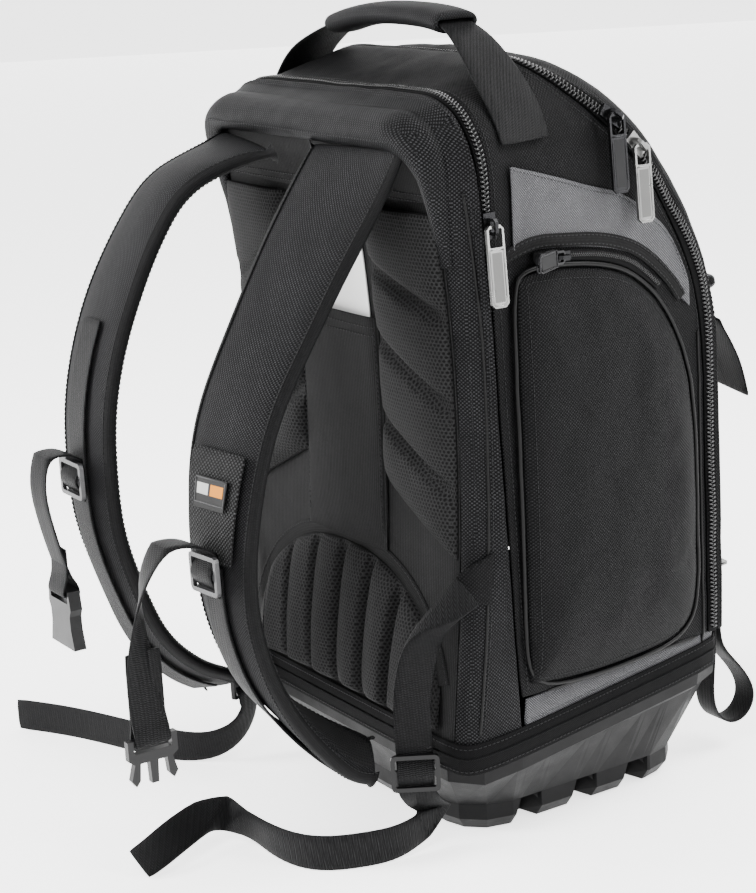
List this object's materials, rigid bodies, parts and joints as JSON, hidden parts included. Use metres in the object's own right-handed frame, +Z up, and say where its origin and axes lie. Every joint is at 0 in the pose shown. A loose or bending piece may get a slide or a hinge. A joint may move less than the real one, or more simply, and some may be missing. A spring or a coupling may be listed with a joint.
{
  "type": "tool backpack",
  "caption": "Upright tool backpack with a moulded base tray, zipped compartments, domed side pockets, a padded back, shoulder straps and a carry handle.",
  "frame": {"origin": "centre of the flat underside of the base tray, in the plane of the floor", "axes": "+Z up; +Y out of the pack's front; the wearer's back and the shoulder straps are on the -Y side; +X is the right side as worn"},
  "size_m": [0.4479, 0.4986, 0.5609],
  "materials": {
    "black_weave": "black coated weave",
    "grey_weave": "grey satin weave",
    "black_mesh": "black spacer mesh",
    "black_webbing": "black ribbed webbing",
    "zip_coil": "black coil",
    "tray_plastic": "dark grey moulded",
    "black_plastic": "black moulded",
    "rubber": "soft dark moulded",
    "paper": "white card",
    "metal": "satin silver",
    "gunmetal": "dark plated"
  },
  "bodies": {
    "pack": {"base_tray": "tray_plastic", "base_binding": "black_webbing", "base_stripe": "grey_weave", "back_panel": "black_weave", "rear_compartment": "black_weave", "main_compartment": "black_weave", "front_panel": "black_weave", "rear_zip": "zip_coil", "front_zip": "zip_coil", "side_band_right": "grey_weave", "side_pocket_right": "black_weave", "pocket_piping_right": "black_webbing", "pocket_zip_right": "zip_coil", "back_pad_right": "black_mesh", "side_band_left": "grey_weave", "side_pocket_left": "black_weave", "pocket_piping_left": "black_webbing", "pocket_zip_left": "zip_coil", "back_pad_left": "black_mesh", "lumbar_pad": "black_mesh", "centre_sleeve": "black_weave", "insert_card": "paper", "yoke_panel": "black_weave", "ridge_flap": "black_weave", "shoulder_strap_right": "black_weave", "strap_rail_right": "black_webbing", "strap_slide_right": "metal", "sternum_webbing_right": "black_webbing", "buckle_male": "metal", "adjuster_webbing_right": "black_webbing", "adjuster_lock_right": "black_plastic", "anchor_wing_right": "black_weave", "shoulder_strap_left": "black_weave", "strap_rail_left": "black_webbing", "strap_slide_left": "black_plastic", "sternum_webbing_left": "black_webbing", "buckle_female": "black_plastic", "adjuster_webbing_left": "black_webbing", "adjuster_lock_left": "black_plastic", "anchor_wing_left": "black_weave", "strap_patch": "black_webbing", "strap_label": "black_weave", "handle_webbing": "black_webbing", "handle_grip": "rubber", "rear_slider": "gunmetal", "front_slider_dark": "gunmetal", "front_slider_light": "gunmetal", "pocket_slider_right": "gunmetal", "pocket_slider_left": "gunmetal", "front_tab": "grey_weave", "front_flap": "black_weave", "front_hook": "metal", "front_ring": "metal", "ring_tab": "black_webbing", "hanging_loop": "black_webbing"},
    "rear_pull_body": {"rear_pull": "rubber"},
    "front_pull_dark_body": {"front_pull_dark": "rubber"},
    "front_pull_light_body": {"front_pull_light": "metal"},
    "pocket_pull_right_body": {"pocket_pull_right": "rubber"},
    "pocket_pull_left_body": {"pocket_pull_left": "rubber"}
  },
  "joints": [
    {"name": "rear_pull_swing", "type": "hinge", "parent": "pack", "child": "rear_pull_body", "pos_m": [0.159, -0.08679, 0.428], "axis": [0, -1, 0], "range_deg": [0, 150]},
    {"name": "front_pull_dark_swing", "type": "hinge", "parent": "pack", "child": "front_pull_dark_body", "pos_m": [0.14663, 0.02231, 0.48564], "axis": [0, -1, 0], "range_deg": [0, 120]},
    {"name": "front_pull_light_swing", "type": "hinge", "parent": "pack", "child": "front_pull_light_body", "pos_m": [0.14764, 0.04184, 0.464], "axis": [0, -1, 0], "range_deg": [0, 120]},
    {"name": "pocket_pull_right_swing", "type": "hinge", "parent": "pack", "child": "pocket_pull_right_body", "pos_m": [0.15501, -0.03023, 0.40072], "axis": [-0.007, 0.069, 0.9976], "range_deg": [0, 120]},
    {"name": "pocket_pull_left_swing", "type": "hinge", "parent": "pack", "child": "pocket_pull_left_body", "pos_m": [-0.15501, -0.03023, 0.40072], "axis": [-0.007, -0.069, -0.9976], "range_deg": [0, 120]}
  ]
}
